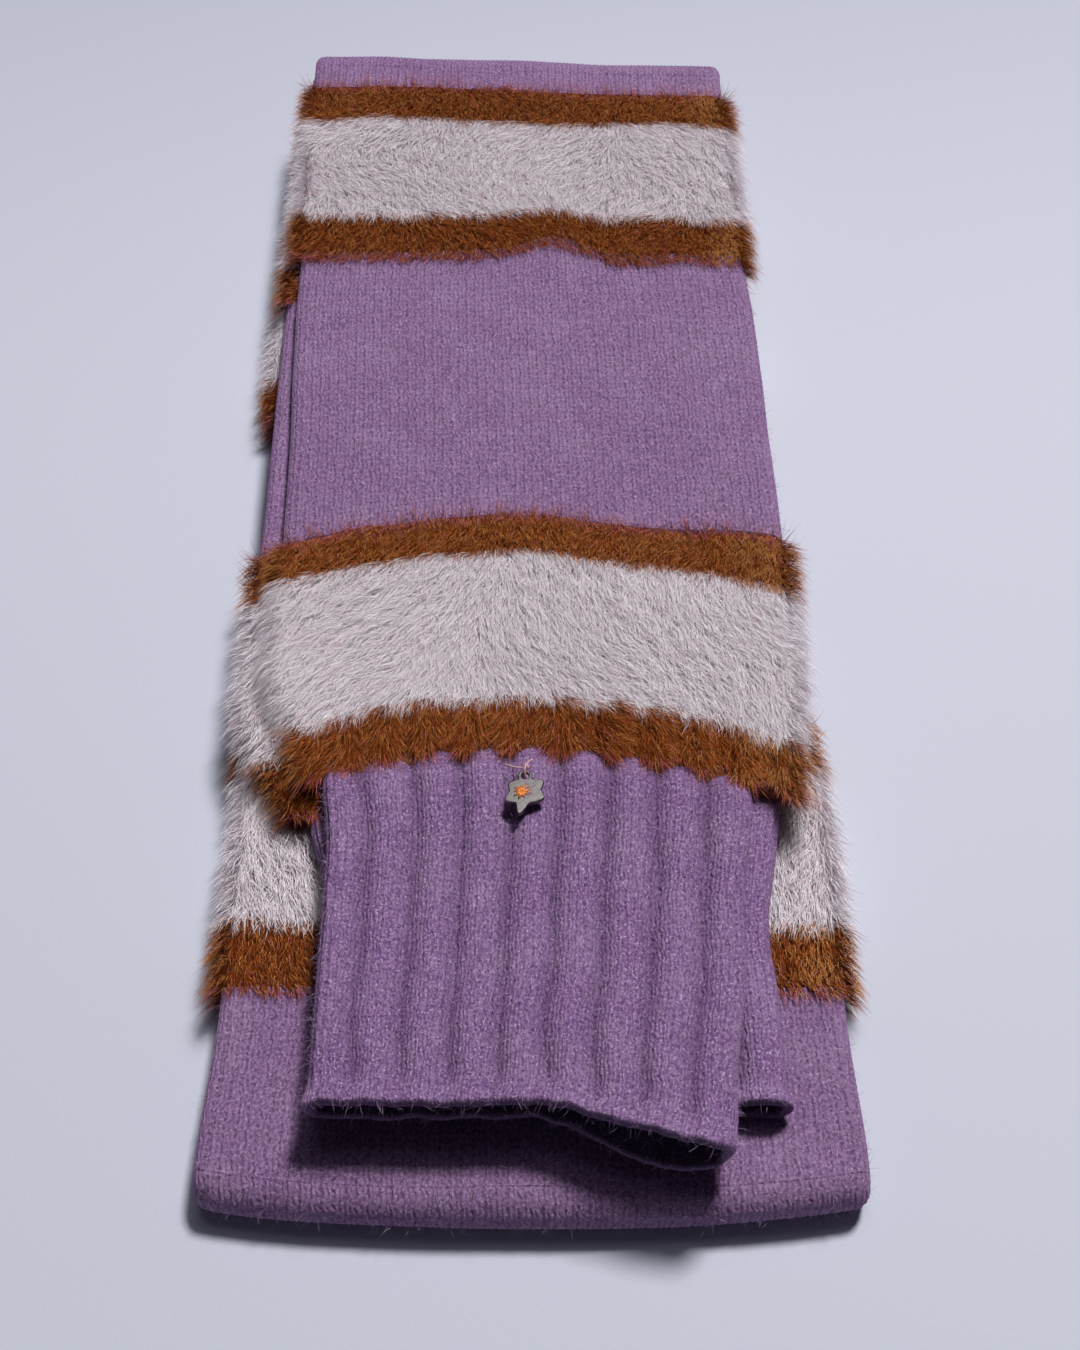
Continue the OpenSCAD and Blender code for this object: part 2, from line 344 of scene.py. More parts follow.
def knit_material(name, body, dark, light, finer=1.0, speckle=0.7, valley_shading=0.0):
    """Heathered yarn knitted plain: V stitches, dark dots between the columns as painted shade in the stitch
    gaps, and pale and dark flecks. finer is the number of columns shown for each one in the mesh, speckle is
    the strength of the flecks, and the last argument is the strength of the painted shade in the valleys
    between ribs."""
    material, tree, shader = start_material(name, roughness=0.85, sheen=0.3)
    red, green, blue = light
    shader.inputs["Sheen Tint"].default_value = (red, green * 0.72, blue, 1.0)
    uv = tree.nodes.new("ShaderNodeUVMap")
    uv.uv_map = "knit"
    split = tree.nodes.new("ShaderNodeSeparateXYZ")
    tree.links.new(uv.outputs[0], split.inputs[0])
    spot = spots(tree)
    wander = calc(tree, "MULTIPLY_ADD", noise(tree, spot, 330, 1), 0.9, -0.45)
    u = calc(tree, "MULTIPLY_ADD", split.outputs[0], finer, wander)
    v = calc(tree, "MULTIPLY_ADD", split.outputs[1], finer, wander)
    off_centre = calc(tree, "SUBTRACT", calc(tree, "FRACT", u), 0.5)
    side = calc(tree, "MULTIPLY", calc(tree, "ABSOLUTE", off_centre), 2.0)
    phase = calc(tree, "FRACT", calc(tree, "SUBTRACT", v, calc(tree, "MULTIPLY", side, 0.5)))
    along = calc(tree, "ABSOLUTE", calc(tree, "SUBTRACT", phase, 0.5))
    groove = ramp(tree, side, 0.55, 1.0)
    holes = calc(tree, "MULTIPLY", groove, ramp(tree, along, 0.10, 0.42))
    heart = calc(tree, "MULTIPLY", ramp(tree, side, 0.35, 0.0), ramp(tree, along, 0.36, 0.10))
    leg = calc(tree, "SINE", calc(tree, "MULTIPLY", side, math.pi))
    heather = noise(tree, spot, 1000, 3)
    pits = noise(tree, spot, 1400, 2)
    flecks = noise(tree, spot, 1650, 2)
    drift = noise(tree, spot, 60, 3)
    colour = blend_colours(tree, ramp(tree, heather, 0.36, 0.62), dark, body)
    faded = calc(tree, "MULTIPLY", ramp(tree, drift, 0.35, 0.7), 0.14)
    colour = blend_colours(tree, faded, colour, light)
    pale = calc(tree, "MULTIPLY", ramp(tree, flecks, 0.56, 0.68), speckle)
    colour = blend_colours(tree, pale, colour, light)
    # Painted shade: the gaps between columns, the hearts of the stitches and the valleys between ribs are
    # darkened towards this colour; the pits are dark flecks of the yarn.
    shade = tuple(c * 0.4 for c in dark)
    depth = calc(tree, "MULTIPLY_ADD", groove, 0.05, calc(tree, "MULTIPLY", holes, 0.36))
    depth = calc(tree, "MULTIPLY_ADD", heart, 0.24, depth)
    depth = calc(tree, "MULTIPLY_ADD", ramp(tree, pits, 0.58, 0.70), speckle, depth)
    # Painted shade in the rib valleys and inside the cuff, read from the mesh's hollow attribute.
    if valley_shading:
        valley = tree.nodes.new("ShaderNodeAttribute")
        valley.attribute_name = "hollow"
        depth = calc(tree, "MULTIPLY_ADD", valley.outputs["Fac"], valley_shading, depth)
    colour = blend_colours(tree, calc(tree, "MINIMUM", depth, 0.92), colour, shade)
    tree.links.new(colour, shader.inputs["Base Color"])
    fibres = noise(tree, spot, 2100, 3)
    height = calc(tree, "MULTIPLY_ADD", fibres, 0.7, calc(tree, "SUBTRACT", leg, holes))
    height = calc(tree, "MULTIPLY_ADD", heather, 1.0, height)
    add_bump(tree, shader, height, strength=0.6, distance=0.0004)
    return material


def hair_material(name, colour):
    """One shade of hair. A fur band mixes several, so no colour has to vary within a hair."""
    material, _, shader = start_material(name, roughness=0.62)
    shader.inputs["Specular IOR Level"].default_value = 0.15
    shader.inputs["Base Color"].default_value = colour + (1.0,)
    return material


def metal_material(name, colour, roughness):
    material, tree, shader = start_material(name, roughness, metallic=1.0)
    spot = spots(tree)
    brushing = noise(tree, spot, 900, 3, stretch=(1, 9, 1))
    tree.links.new(blend_colours(tree, brushing, colour, tuple(c * 1.35 for c in colour)),
                   shader.inputs["Base Color"])
    tree.links.new(calc(tree, "MULTIPLY_ADD", brushing, 0.2, roughness - 0.1), shader.inputs["Roughness"])
    add_bump(tree, shader, brushing, strength=0.15, distance=0.00008)
    return material


def enamel_material(name, colour, deep):
    material, tree, shader = start_material(name, roughness=0.25, coat=0.6)
    spot = spots(tree)
    clouds = noise(tree, spot, 1400, 2)
    clouded = blend_colours(tree, ramp(tree, clouds, 0.35, 0.65), deep, colour)
    tree.links.new(clouded, shader.inputs["Base Color"])
    add_bump(tree, shader, clouds, strength=0.1, distance=0.00008)
    return material


LILAC = knit_material("lilac_knit", (0.298, 0.162, 0.352), (0.185, 0.090, 0.220), (0.52, 0.37, 0.57))
RIBBING = knit_material("lilac_ribbing", (0.303, 0.164, 0.360), (0.168, 0.070, 0.232), (0.60, 0.45, 0.66),
                        finer=RIB_FINER, speckle=0.8, valley_shading=0.40)
BROWN_BASE = knit_material("caramel_base_knit", (0.22, 0.055, 0.010), (0.15, 0.034, 0.006),
                           (0.32, 0.10, 0.025))
CREAM_BASE = knit_material("cream_base_knit", (0.66, 0.60, 0.64), (0.52, 0.46, 0.50), (0.82, 0.77, 0.80))
CARAMEL_HAIR = [hair_material("caramel_hair_root", (0.200, 0.040, 0.006)),
                hair_material("caramel_hair_dark", (0.300, 0.065, 0.010)),
                hair_material("caramel_hair", (0.425, 0.105, 0.017)),
                hair_material("caramel_hair_light", (0.640, 0.270, 0.082))]
CREAM_HAIR = [hair_material("cream_hair_root", (0.80, 0.73, 0.77)),
              hair_material("cream_hair_grey", (0.88, 0.80, 0.87)),
              hair_material("cream_hair", (0.93, 0.86, 0.93)),
              hair_material("cream_hair_light", (0.98, 0.92, 0.98))]
ROSE_HAIR = hair_material("rose_hair", (0.60, 0.15, 0.19))
LILAC_HAIR = [hair_material("lilac_hair_root", (0.30, 0.18, 0.34)),
              hair_material("lilac_hair", (0.42, 0.28, 0.47)),
              hair_material("lilac_hair_light", (0.66, 0.54, 0.70))]


# ---------------- plain knitted stretches

# Columns and rows for each stitch: on faces that show, and on faces that are covered.
FINE, MEDIUM, COARSE = (6, 4), (4, 3), (1, 1)
RELIEF = 0.24               # height of a stitch


def knit_ring(half, thick, top, under):
    edge = max(top, under)
    return Ring(half, thick, WALE / top[0], WALE / edge[0] * 0.9, WALE / under[0])


def end_tuck(rows):
    """Depth that each row is drawn in: only the first and last, so that no edge shows at a join."""
    return 0.03 * np.isin(np.arange(rows), (0, rows - 1))[:, None]


def stretch_points(layer, ring, y, relief):
    """Points of a straight stretch of a layer, at each y and each column of its ring."""
    middle, _, height, _ = PLACE[layer]
    flat, out, up = ring.flat[None], ring.out[None], ring.up[None]
    across, above = ring.place(flat, out, up, inset=end_tuck(len(y)))
    yy = y[:, None] + 0 * across
    bumps = stitches(ring.s[None] / WALE + 0 * yy, yy / ROW, relief)
    return np.stack([middle + across + out * bumps, yy, height + above + up * bumps], -1)


def knit_stretch(name, layer, node, top, under, material, thin=0.0, relief=RELIEF):
    """A straight stretch of a layer, made thinner all round by thin."""
    low, high = box(node)
    half = (high[0] - low[0]) / 2 - thin
    ring = knit_ring(half, high[2] - low[2] - 2 * thin, top, under)
    rows = max(2, int(round((high[1] - low[1]) / (ROW / max(top, under)[1]))) + 1)
    y = np.linspace(low[1], high[1], rows)
    points = lie(layer, stretch_points(layer, ring, y, relief))
    piece = closed_tube(name, points, ring.s, ring.length, y, [material])
    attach(piece, BODY[layer])
    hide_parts(node)
    return piece


def fold_piece(name, node, part, upper, lower, middle_y, middle_z, side, steps, opening=None):
    """A stretch of tube that goes round a fold, from the upper layer to the lower one. opening is
    None for a fold that stays shut, which is joined to the lower layer; otherwise an opening below 0.1 makes
    the pattern skip the hinge's length."""
    overlap = 0.04          # angle by which each end runs on into the straight stretch
    thick = PLACE[upper][3]
    radius = abs(PLACE[upper][2] - PLACE[lower][2]) / 2
    upper_x, lower_x = PLACE[upper][0], PLACE[lower][0]
    upper_half, lower_half = (np.ptp(np.array(box(f"{layer}_{part}_lilac"))[:, 0]) / 2
                              for layer in (upper, lower))
    ring = knit_ring(upper_half, thick, steps, COARSE)
    rows = 2 * int(math.pi * (radius + thick / 2) / (ROW / steps[1]) / 2) + 2
    turn = np.linspace(1, -1, rows)[:, None] * (math.pi / 2 + overlap)
    across, above = ring.place(ring.flat[None], ring.out[None], ring.up[None], inset=end_tuck(rows))
    v = middle_y + side * radius * (math.pi / 2 - turn)
    bumps = stitches(ring.s[None] / WALE + 0 * turn, v / ROW + 0 * across, RELIEF)
    share = (1 + np.sin(turn)) / 2
    width = share + (1 - share) * lower_half / upper_half
    x = share * upper_x + (1 - share) * lower_x + (across + ring.out[None] * bumps) * width
    reach = radius + above + ring.up[None] * bumps
    reach = np.maximum(reach, 0.12)
    points = np.stack([x, middle_y + side * reach * np.cos(turn), middle_z + reach * np.sin(turn)], -1)
    share = share[..., None]
    points = share * lie(upper, points) + (1 - share) * lie(lower, points)
    if opening is None:
        piece = closed_tube(name, points, ring.s, ring.length, v[:, 0], [LILAC], flip=side < 0)
        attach(piece, BODY[lower])
    else:
        # The inner fold's pattern skips the length that the hinge adds there when it opens.
        opened_gap = 2 * (HINGE_Y - middle_y) * (opening < 0.1)
        pattern = v[:, 0] + opened_gap * (turn[:, 0] < 0)
        piece = closed_tube(name, points, ring.s, ring.length, pattern, [LILAC])
        # Each point's height is set for a moment to its angle round the fold, then put back as it was.
        vertices = piece.data.vertices
        final = np.empty(len(vertices) * 3, np.float32)
        vertices.foreach_get("co", final)
        by_angle = final.reshape(-1, 3).copy()
        by_angle[:, 2] = np.append(np.repeat(turn[:, 0], points.shape[1]), (math.pi / 2, -math.pi / 2))
        vertices.foreach_set("co", by_angle.ravel())
        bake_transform(piece)
        piece.data.vertices.foreach_set("co", final)
        piece.data.update()
    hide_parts(node)
    return piece


# How finely the top face and the underside of each layer are made.
SHOWING = {"top": (FINE, COARSE), "second": (MEDIUM, MEDIUM), "third": (MEDIUM, COARSE),
           "bottom": (COARSE, COARSE)}


def lilac_stretches():
    """The plain sections of all four layers, the three folds, and loose fuzz where they show."""
    pieces = {}
    for layer, parts in (("bottom", ("near", "middle", "end")), ("third", ("near", "middle", "end")),
                         ("second", ("middle", "end")), ("top", ("middle", "end"))):
        for part in parts:
            top, under = SHOWING[layer]
            if (layer, part) == ("third", "near"):
                top = FINE
            node = f"{layer}_{part}_lilac"
            piece = knit_stretch(f"knit_{layer}_{part}", layer, node, top, under, LILAC)
            pieces[node] = piece
    near = fold_piece("knit_near_fold", "near_fold_lilac", "near", "third", "bottom",
                      NEAR_Y + PLACE["bottom"][3], PLACE["bottom"][3], -1, FINE)
    outer = fold_piece("knit_far_fold_outer", "far_fold_outer_lilac", "end", "top", "bottom",
                       FOLD_Y, FOLD_Z, 1, FINE, opening=1.4)
    inner = fold_piece("knit_far_fold_inner", "far_fold_inner_lilac", "end", "second", "third",
                       FOLD_Y, FOLD_Z, 1, MEDIUM, opening=0.01)
    for node, count in (("top_middle_lilac", 5000), ("third_near_lilac", 3500), ("top_end_lilac", 700),
                        ("second_middle_lilac", 2500), ("third_middle_lilac", 1500)):
        fuzz(pieces[node], BODY[node.split("_")[0]], count, seed=count)
    fuzz(near, "lower_pair", 1800, seed=7, lowest=-0.9)


# ---------------- fur

def strands(name, roots, normals, lean, length, width, shades, slot_of, shares, seed, curl=0.45, sink=0.4):
    """Tapered hairs, each a thin wedge with its flat side up, closed at both ends. shares are the
    parts of the length that bend. slot_of gives each hair its shade, and its root is shade 0."""
    count, segments = len(roots), len(shares)
    rng = np.random.default_rng(seed)
    down = np.array([0, 0, -1.0])
    along = unit(normals + lean)
    lean_unit = lean / np.maximum(np.linalg.norm(lean, axis=1, keepdims=True), 1e-6)
    centres = [roots - normals * sink]
    direction = along
    for share in shares:
        centres.append(centres[-1] + direction * (length * share)[:, None])
        centres[-1][:, 2] = np.maximum(centres[-1][:, 2], 0.2)
        direction = unit(direction + lean_unit * curl + down * curl * 0.5)
    facing = normals + rng.normal(0, 0.28, (count, 3))
    sideways = unit(np.cross(along, facing))
    below = np.cross(along, sideways)
    rings = []
    for ring in range(segments):
        half = (width * (1 - 0.45 * ring / segments))[:, None]
        centre = centres[ring]
        rings += [centre + sideways * half, centre - sideways * half, centre + below * half]
    rings.append(centres[-1])
    points = np.stack(rings, 1)
    each = points.shape[1]
    quads = np.array([[ring * 3 + c, ring * 3 + (c + 1) % 3, ring * 3 + 3 + (c + 1) % 3, ring * 3 + 3 + c]
                      for ring in range(segments - 1) for c in range(3)]).reshape(-1, 4).astype(int)
    quad_segment = np.repeat(np.arange(segments - 1), 3)
    tip, last = each - 1, (segments - 1) * 3
    triangles = [[last + c, last + (c + 1) % 3, tip] for c in range(3)] + [[2, 1, 0]]
    starts = (np.arange(count) * each)[:, None, None]
    quad_faces = (quads[None] + starts).reshape(-1, 4)
    tri_faces = (np.array(triangles)[None] + starts).reshape(-1, 3)
    quad_slots = np.where(quad_segment[None] == 0, 0, slot_of[:, None]).ravel()
    tri_slots = np.where(np.array([False, False, False, True])[None], 0, slot_of[:, None]).ravel()
    faces = [quad_faces, tri_faces] if segments > 1 else [tri_faces]
    slots = np.concatenate([quad_slots, tri_slots]) if segments > 1 else np.repeat(slot_of, 4)
    return make_mesh(name, points.reshape(-1, 3), faces, shades, slots=slots, soft=False)


def fuzz(piece, body, count, seed, lowest=-0.3):
    """Fine loose fibres that stand off the knitting, on faces that point no lower than lowest."""
    mesh = piece.data
    size = len(mesh.polygons)
    centres, normals, areas = np.empty(size * 3), np.empty(size * 3), np.empty(size)
    mesh.polygons.foreach_get("center", centres)
    mesh.polygons.foreach_get("normal", normals)
    mesh.polygons.foreach_get("area", areas)
    centres, normals = centres.reshape(-1, 3) * 1000, normals.reshape(-1, 3)
    areas = areas * (normals[:, 2] > lowest)
    rng = np.random.default_rng(seed)
    pick = rng.choice(size, count, p=areas / areas.sum())
    roots, normals = centres[pick], normals[pick]
    lean = np.cross(normals, rng.normal(size=(count, 3)))
    lean *= rng.uniform(0.8, 3.5, count)[:, None]
    length = rng.uniform(1.6, 4.6, count)
    shade = rng.choice([1, 2], count, p=[0.6, 0.4])
    width = rng.uniform(0.035, 0.06, count)
    hairs = strands(f"fuzz_{piece.name}", roots, normals, lean, length, width, LILAC_HAIR, shade,
                    shares=(0.5, 0.5), curl=0.5, sink=0.2, seed=seed)
    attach(hairs, body)


def covered(layer, x, y, up):
    """Where another layer presses on this one, so its pile lies flat. What isn't covered of the
    second and third layers are strips beside the layers above, and corners beside the cuffs."""
    if layer == "top":
        return up < -0.5
    if layer == "second":
        under = up < -0.5
        beside = (x < -74) | ((y < -101) & ((x < -58) | (x > 60)))
        return under | ((up > 0.5) & ~beside)
    if layer == "third":
        beside = (x > 69) | ((y < -111) & ((x < -60) | (x > 66)))
        return (up < -0.5) | ((up > 0.5) & ~beside)
    return np.abs(up) > 0.5


# How far the pile's borders lie from those of the knitted bands below it, towards +Y, in this
# order: front edge, between front caramel and cream, between cream and back caramel, back edge.
PILE_BORDERS = {("top", "far"): (-2.6, 2.0, -1.5, 0.3), ("top", "near"): (0, 0, -1.2, 0),
                ("third", "near"): (0, 4.0, 0, 0)}
PARTS = ("front_caramel", "cream", "back_caramel")
BAND_OVERLAP = 0.8          # how far each band's hairs grow into the next band
CLUMP = 2.6                 # size of the clumps that hairs stick together in
CUFF_MIDDLE, CUFF_HALF = 2.25, 55       # where the top cuff's flat face lies at its root


class Pile:
    """Hairs of one fur-yarn band, each at a random place round the tube and along the band. The
    top layer's pile is finest. Every hair has one value in each of the arrays kept here."""

    def __init__(self, layer, which, part, seed):
        self.layer, self.part, self.node = layer, part, f"{layer}_{which}_set_{part}"
        self.cream, self.fine = part == "cream", layer == "top"
        self.at_cuff = self.node == "top_near_set_front_caramel"
        self.seed, self.rng = seed, np.random.default_rng(seed)
        low, high = box(self.node)
        place = PARTS.index(part)
        front, back = PILE_BORDERS.get((layer, which), (0, 0, 0, 0))[place:place + 2]
        self.front, self.back = low[1] + front - BAND_OVERLAP, high[1] + back + BAND_OVERLAP
        self.plant()

    def plant(self):
        """Roots, the way they face, and where the pile is pressed flat or missing."""
        rng = self.rng
        middle, half, height, thick = PLACE[self.layer]
        ring = Ring(half, thick, WALE, WALE, WALE)
        per_area = 7.0 if self.fine else 2.6
        count = int(ring.length * (self.back - self.front) * per_area)
        s = rng.uniform(0, ring.length, count)
        y = rng.uniform(self.front, self.back, count)
        flat, out, up = ring.at(s)
        across, above = ring.place(flat, out, up)
        x = middle + across
        pressed = covered(self.layer, x + rng.normal(0, 2.5, count), y, up)
        crest = rib_crest((x - CUFF_MIDDLE) / CUFF_HALF)
        over_rib = smooth(0.2, 0.75, crest) * (up > 0.5) * self.at_cuff
        chance = np.where(pressed, 0.35 if self.fine else 0.65, 1.0)
        chance = np.where((up > 0.5) & pressed & (self.layer in ("bottom", "second")), 0, chance)
        chance = np.where((up < -0.5) & (self.layer in ("bottom", "third")), 0, chance)
        keep = (rng.uniform(0, 1, count) < chance) & (y > self.front + 2.4 * over_rib)
        s, y, x, out, up = (values[keep] for values in (s, y, x, out, up))
        above, self.pressed, self.over_rib = above[keep], pressed[keep], over_rib[keep]
        self.x, self.y, self.out, self.up, self.count = x, y, out, up, len(s)
        wave = 0.8 * ripple(x, 0 * x, 5, 51) + 0.8 * ripple(x, 0 * x, 13, 52)
        self.roots = lie(self.layer, np.stack([x, y + wave, height + above], -1))
        self.normals = np.stack([out, 0 * out, up], -1)
        self.beside = (np.abs(out) > 0.35) & ~self.pressed
        # Painted light: caramel hairs near the tube's right side are often given the lightest shade.
        self.sunlit = smooth(half - 18, half - 4, x - middle) * (not self.cream)
        # A number from -1 to 1 that all the hairs of a clump share.
        cell = np.floor(s / CLUMP).astype(int) * 7919 + np.floor(y / CLUMP).astype(int) * 104729
        self.clump = np.modf(np.abs(np.sin(cell * 12.9898) * 43758.5453))[0] * 2 - 1

    def lean(self):
        """Each hair's slope away from upright, in a direction that swirls and goes by clumps."""
        rng, count = self.rng, self.count
        around = np.stack([self.up, 0 * self.out, -self.out], -1)
        swirl = 0.8 * ripple(self.x, self.y, 24, 21) + 0.38 * self.clump + rng.normal(0, 0.26, count)
        toward = np.full(count, 1.0)
        if self.part == "back_caramel":
            toward = np.where(rng.uniform(0, 1, count) < 0.12, -0.6, 0.9)
        forward = np.array([0, -1.0, 0]) * (np.cos(swirl) * toward)[:, None]
        lean = around * np.sin(swirl)[:, None] + forward
        loose = rng.uniform(1.3, 3.2, count) if self.cream else rng.uniform(1.0, 2.4, count)
        slope = np.where(self.pressed, 5.0, loose)
        slope = np.where(self.beside, slope * 0.5, slope)
        return lean * slope[:, None]

    def lengths(self):
        rng, count = self.rng, self.count
        length = rng.uniform(5.6, 8.8, count) if self.cream else rng.uniform(4.6, 7.4, count)
        length = np.where(self.pressed, length * 0.8, length)
        length = np.where(self.beside, length * (1.25 if self.cream else 1.4), length)
        if self.at_cuff:
            length = length * np.where(self.up > 0.5, 1.7 - 0.95 * self.over_rib, 1.0)
        return length

    def shades(self):
        """Each hair's place in the palette: 0 is darkest, 3 lightest, and 4 rose."""
        rng, count = self.rng, self.count
        weights = [0.10, 0.32, 0.38, 0.20]
        if self.part == "back_caramel":
            weights = [0.04, 0.22, 0.42, 0.32]
        if self.cream:
            weights = [0.0, 0.10, 0.30, 0.60] if self.fine else [0.04, 0.24, 0.42, 0.30]
        pick = rng.choice(4, count, p=weights)
        # Painted light: loose hairs at the tube's edges, and caramel hairs near its right side, mostly take
        # the lightest shade.
        pick = np.where(self.beside & (rng.uniform(0, 1, count) < 0.75), 3, pick)
        pick = np.where(~self.pressed & ((self.clump + 1) / 2 < 0.85 * self.sunlit), 3, pick)
        mixed = 0.012
        if not self.cream:
            border = self.front + BAND_OVERLAP if self.part == "front_caramel" else self.back - BAND_OVERLAP
            mixed = 0.02 + 0.5 * hill(self.y, border, 1.6)
        return np.where(rng.uniform(0, 1, count) < mixed, 4, pick)

    def build(self, slot):
        """Makes the hairs as three pieces: two of long, bent hairs and one of short under-fur."""
        rng, count = self.rng, self.count
        lean, length = self.lean(), self.lengths()
        width = rng.uniform(0.055, 0.085, count) if self.fine else rng.uniform(0.080, 0.120, count)
        shade = self.shades()
        palette = (CREAM_HAIR if self.cream else CARAMEL_HAIR) + [ROSE_HAIR]
        order = rng.permutation(count)
        long_hairs = order[:int(count * (0.42 if self.fine else 0.7))]
        under_fur = order[len(long_hairs):]
        length[under_fur] *= 0.66
        long_a, long_b = np.array_split(long_hairs, 2)
        for kind, chosen, shares in (("long_a", long_a, (0.55, 0.45)), ("long_b", long_b, (0.55, 0.45)),
                                     ("under", under_fur, (1.0,))):
            hairs = strands(f"pile_{kind}_{self.node}", self.roots[chosen], self.normals[chosen],
                            lean[chosen], length[chosen], width[chosen], palette, shade[chosen],
                            shares=shares, seed=self.seed)
            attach(hairs, BODY[self.layer])


def fur_band(layer, which, part, seed):
    """One fur-yarn band: its knitted ground, and the pile that stands on it."""
    node, slot, ground = f"{layer}_{which}_set_{part}", "caramel_fur_yarn", BROWN_BASE
    if part == "cream":
        slot, ground = "cream_fur_yarn", CREAM_BASE
    base = knit_stretch(f"base_{node}", layer, node, COARSE, COARSE, ground, thin=0.5, relief=0.1)
    Pile(layer, which, part, seed).build(slot)


def fur_bands():
    seed = 100
    for layer in LAYERS:
        for which in ("near", "far"):
            for part in PARTS:
                seed += 1
                fur_band(layer, which, part, seed)


# ---------------- cuffs

RIB_DEPTH = 3.2             # depth of the valleys between ribs
INSIDE_SHADE = 2.2         # strength of the painted shade inside the cuff, where 1 is that of a valley's
INSIDE_DEPTH = 0.45         # part of the cuff's length whose inside is made


def rib_place(flat):
    """Place across a face, counted in ribs. The valleys lie a little wider than the tube's edges."""
    return (flat * 0.91 + 1.01) * RIBS / 2


def rib_crest(flat):
    """How far from a valley between two ribs, 0 in the valley to 1 on the crest."""
    place = rib_place(flat)
    return 2 * np.abs(place - np.round(place))


class Cuff:
    """A ribbed, open end of the tube: outside, rolled lip, and the inside back to a depth. left
    and right give its sides at each y, lift raises its mouth, and lip shapes the mouth's edge."""

    def __init__(self, layer, left, right, ply, lift, lip):
        self.layer, self.node, self.edge_node = layer, f"{layer}_cuff_rib", f"{layer}_cuff_edge"
        rib_low, rib_high = box(self.node)
        edge_low, _ = box(self.edge_node)
        self.root, self.mouth = rib_high[1], edge_low[1]
        self.low, self.high = rib_low[2], rib_high[2]
        self.left, self.right, self.ply, self.lift, self.lip = left, right, ply, lift, lip

    def points(self, ring, along, inset):
        """Points for each station: along from 0 at the root to 1 at the lip, inset from 0 outside
        to the ply's thickness inside. Keeps how deep in a valley each point lies, as the strength of the
        painted shade there; the inside of the cuff gets a stronger painted shade."""
        flat, out, up = ring.flat[None], ring.out[None], ring.up[None]
        along, inset = along[:, None], inset[:, None]
        nominal = self.root + (self.mouth - self.root) * along + 0 * flat
        left, right = self.left(nominal), self.right(nominal)
        radius = (self.high - self.low) / 2
        run, middle = (right - left) / 2 - radius, (left + right) / 2
        rib = np.round(rib_place(flat))
        crest = rib_crest(flat + 0.03 * ripple(nominal, 40 * np.sign(up) + 11 * rib, 20, 31))
        valley = (1 - crest) ** 2.4
        valley = np.where(np.abs(up) > 0.9, valley, 0.35)
        fade = 1 - 0.8 * smooth(0.91, 0.985, along)
        inside = inset > 0.3
        groove = RIB_DEPTH * valley * fade * np.where(inside, 0.4, 1.0)
        # Painted shade: the valleys and the inside of the cuff are darkened in the colour by this amount.
        self.hollow = np.where(inside, INSIDE_SHADE, valley * fade + 0 * nominal)
        bead = 0.5 * hill(along, 0.985, 0.02) * ~inside
        fine = stitches(ring.s[None] * RIB_FINER / WALE + 0 * nominal, nominal * RIB_FINER / ROW, 0.28)
        shell = radius - inset - groove + bead + fine * ~inside
        shell = np.maximum(shell, 0.25)
        x = middle + flat * run + out * shell
        y = nominal + self.lip(x, up) * smooth(0.35, 1.0, along)
        z = (self.low + self.high) / 2 + up * shell + self.lift(x, along, up)
        return np.stack([x, y, z], -1)

    def build(self, top_steps, under_steps, settle_start, settle_end, fibres, seed):
        half = (self.right(self.root) - self.left(self.root)) / 2
        edge = max(top_steps, under_steps)
        ring = Ring(half, self.high - self.low, WALE / top_steps[0], WALE / edge[0], WALE / under_steps[0])
        length = self.root - self.mouth
        outer = np.linspace(0, 1, int(length / (ROW / edge[1])))
        beta = np.linspace(0, math.pi, 9)[1:]
        lip = 1 - self.ply / 2 / length * (1 - np.sin(beta))
        outer = outer * lip[0] * 0.999
        inner = np.linspace(lip[-1], 1 - INSIDE_DEPTH, 24)[1:]
        along = np.concatenate([outer, lip, inner])
        inset = np.concatenate([0 * outer, self.ply / 2 * (1 - np.cos(beta)), 0 * inner + self.ply])
        points = settle_root(self.points(ring, along, inset), self.layer, settle_start, settle_end)
        v = np.concatenate([outer * length, length + self.ply * beta / math.pi,
                            length + self.ply + (lip[-1] - inner) * length])
        piece = closed_tube(f"knit_{self.layer}_cuff", points, ring.s, ring.length, v, [RIBBING], flip=True)
        self.finish(piece)
        fuzz(piece, "upper_pair", fibres, seed=seed, lowest=-0.8)

    def finish(self, piece):
        """Tells the material how much painted shade each point gets, by how deep in a valley it lies, and
        joins the piece to the row.
        """
        values = np.zeros(len(piece.data.vertices), np.float32)
        values[:self.hollow.size] = self.hollow.ravel()
        piece.data.attributes.new("hollow", "FLOAT", "POINT").data.foreach_set("value", values)
        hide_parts(self.node, self.edge_node)
        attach(piece, "upper_pair")


def top_lift(x, along, up):
    """The mouth gapes most at the right, where the upper ply rises and the lower one dips."""
    gape = 3.2 + 2.6 * hill(x, 30, 20) - 1.5 * smooth(40, 58, x) - smooth(-46, -56, x)
    rise = gape * smooth(0.35, 1.0, along)
    dip = 3.0 * hill(x, 33, 16) * smooth(0.80, 1.0, along)
    return rise * (1 + up) / 2 - dip * (1 - up) / 2


def top_lip(x, up):
    """How far the mouth's edge lies from straight, towards +Y, on the upper ply and the lower."""
    upper = 4.5 - 11.5 * smooth(0, 48, x) + 1.5 * smooth(46, 54, x) + 0.5 * ripple(x, 0 * x, 8, 42)
    lower = 0.4 - 3.0 * hill(x, 31, 14) + 1.2 * smooth(38, 50, x) + 0.5 * ripple(x, 0 * x, 7, 41)
    return upper + np.clip(0.5 - up, 0, 1) * lower + 0.3 * ripple(x, 0 * x, 2.2, 44)


def second_lift(x, along, up):
    return 2.0 * hill(x, 60, 7) * smooth(0.5, 1.0, along) * (1 + up) / 2


